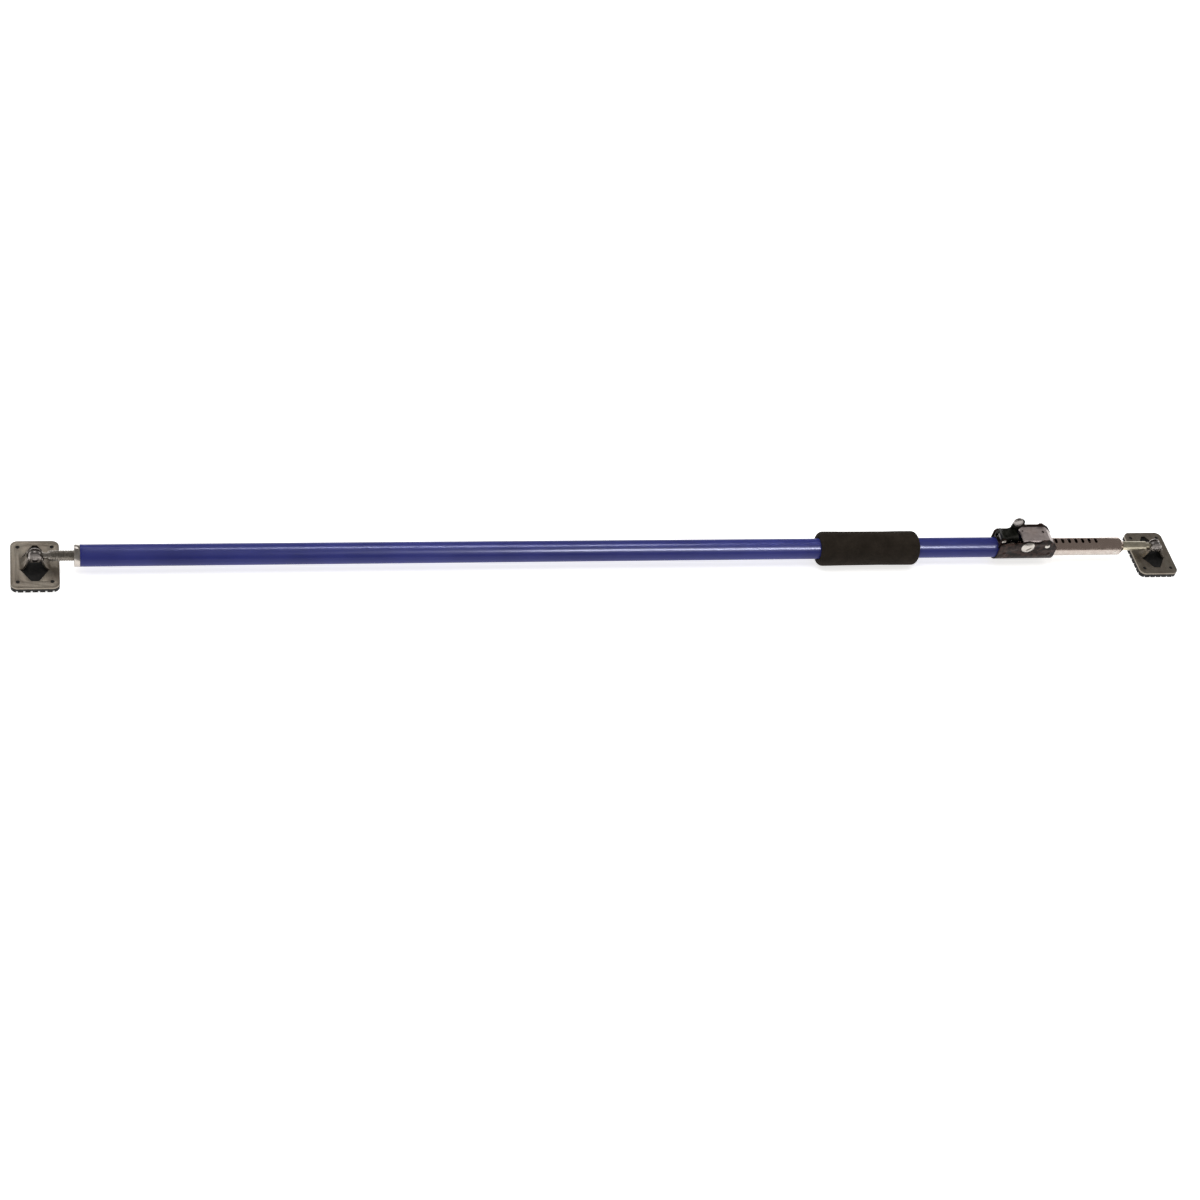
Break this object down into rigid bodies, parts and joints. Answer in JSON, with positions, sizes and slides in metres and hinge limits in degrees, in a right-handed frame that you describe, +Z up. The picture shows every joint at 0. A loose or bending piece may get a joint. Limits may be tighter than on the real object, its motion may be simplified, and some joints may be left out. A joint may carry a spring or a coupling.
{
  "type": "ratcheting bed cargo bar",
  "caption": "Telescoping ratchet bar that braces cargo across a truck bed, with ball-jointed rubber feet and a foam grip.",
  "frame": {"origin": "centre of the bar's footprint, on the plane that its two feet lie on", "axes": "+X along the bar towards the slotted inner tube, +Z up through the ratchet lever"},
  "size_m": [1.63, 0.08, 0.0772],
  "materials": {
    "blue_paint": "gloss powder coat",
    "grip_foam": "closed-cell foam",
    "bright_steel": "polished",
    "ball_steel": "zinc plated",
    "thread_steel": "zinc plated",
    "foot_zinc": "pressed, zinc plated",
    "foot_rubber": "moulded",
    "black_paint": "gloss black",
    "rivet_steel": "bright zinc",
    "lever_zinc": "zinc plated",
    "pawl_steel": "hardened",
    "spring_steel": "drawn wire",
    "release_black": "satin black",
    "rack_zinc": "bright zinc",
    "stud_zinc": "zinc plated"
  },
  "bodies": {
    "bar": {"outer_tube": "blue_paint", "foam_grip": "grip_foam", "end_bushing": "bright_steel", "ratchet_housing": "black_paint", "housing_rivets": "black_paint", "front_pin": "rivet_steel", "lever_pivot_pin": "bright_steel", "pivot_washer": "rivet_steel", "release_bracket": "black_paint", "release_pin": "rivet_steel"},
    "left_screw": {"left_stud": "thread_steel"},
    "left_swivel": {"left_ball": "ball_steel"},
    "left_foot": {"left_pad_plate": "foot_zinc", "left_pad_rubber": "foot_rubber"},
    "lever": {"drive_lever": "lever_zinc", "drive_pawl_pin": "rivet_steel"},
    "pawl": {"drive_pawl": "pawl_steel", "drive_pawl_spring": "spring_steel"},
    "release": {"release_lever": "release_black", "release_spring": "spring_steel", "holding_pawl": "pawl_steel", "holding_pawl_rivet": "rivet_steel", "release_knob": "ball_steel"},
    "rack": {"rack_tube": "rack_zinc", "rack_end_plug": "rack_zinc", "rack_plug_pin": "rivet_steel", "right_stud": "stud_zinc"},
    "right_swivel": {"right_ball": "ball_steel"},
    "right_foot": {"right_pad_plate": "foot_zinc", "right_pad_rubber": "foot_rubber"}
  },
  "joints": [
    {"name": "rack_slide", "type": "slide", "parent": "bar", "child": "rack", "axis": [1, 0, 0], "range_m": [-0.084, 0.231]},
    {"name": "left_screw_travel", "type": "slide", "parent": "bar", "child": "left_screw", "axis": [-1, 0, 0], "range_m": [-0.012, 0.03]},
    {"name": "left_foot_spin", "type": "hinge", "parent": "left_screw", "child": "left_swivel", "pos_m": [-0.785, 0, 0.024], "axis": [1, 0, 0], "continuous": true},
    {"name": "left_foot_swing", "type": "hinge", "parent": "left_swivel", "child": "left_foot", "pos_m": [-0.785, 0, 0.024], "axis": [0, 1, 0], "range_deg": [0, 180]},
    {"name": "right_foot_spin", "type": "hinge", "parent": "rack", "child": "right_swivel", "pos_m": [0.785, 0, 0.024], "axis": [1, 0, 0], "continuous": true},
    {"name": "right_foot_swing", "type": "hinge", "parent": "right_swivel", "child": "right_foot", "pos_m": [0.785, 0, 0.024], "axis": [0, -1, 0], "range_deg": [0, 180]},
    {"name": "lever_swing", "type": "hinge", "parent": "bar", "child": "lever", "pos_m": [0.5716, 0, 0.04], "axis": [0, -1, 0], "range_deg": [0, 60]},
    {"name": "pawl_swing", "type": "hinge", "parent": "lever", "child": "pawl", "pos_m": [0.58273, 0, 0.04592], "axis": [0, -1, 0], "range_deg": [-60, 0]},
    {"name": "release_press", "type": "hinge", "parent": "bar", "child": "release", "pos_m": [0.534, 0, 0.046], "axis": [0, -1, 0], "range_deg": [0, 15], "stiffness_Nm_per_rad": 0.25, "springref_deg": -8.59}
  ],
  "couplings": [
    {"joint": "pawl_swing", "follows": "lever_swing", "ratio": -1}
  ]
}
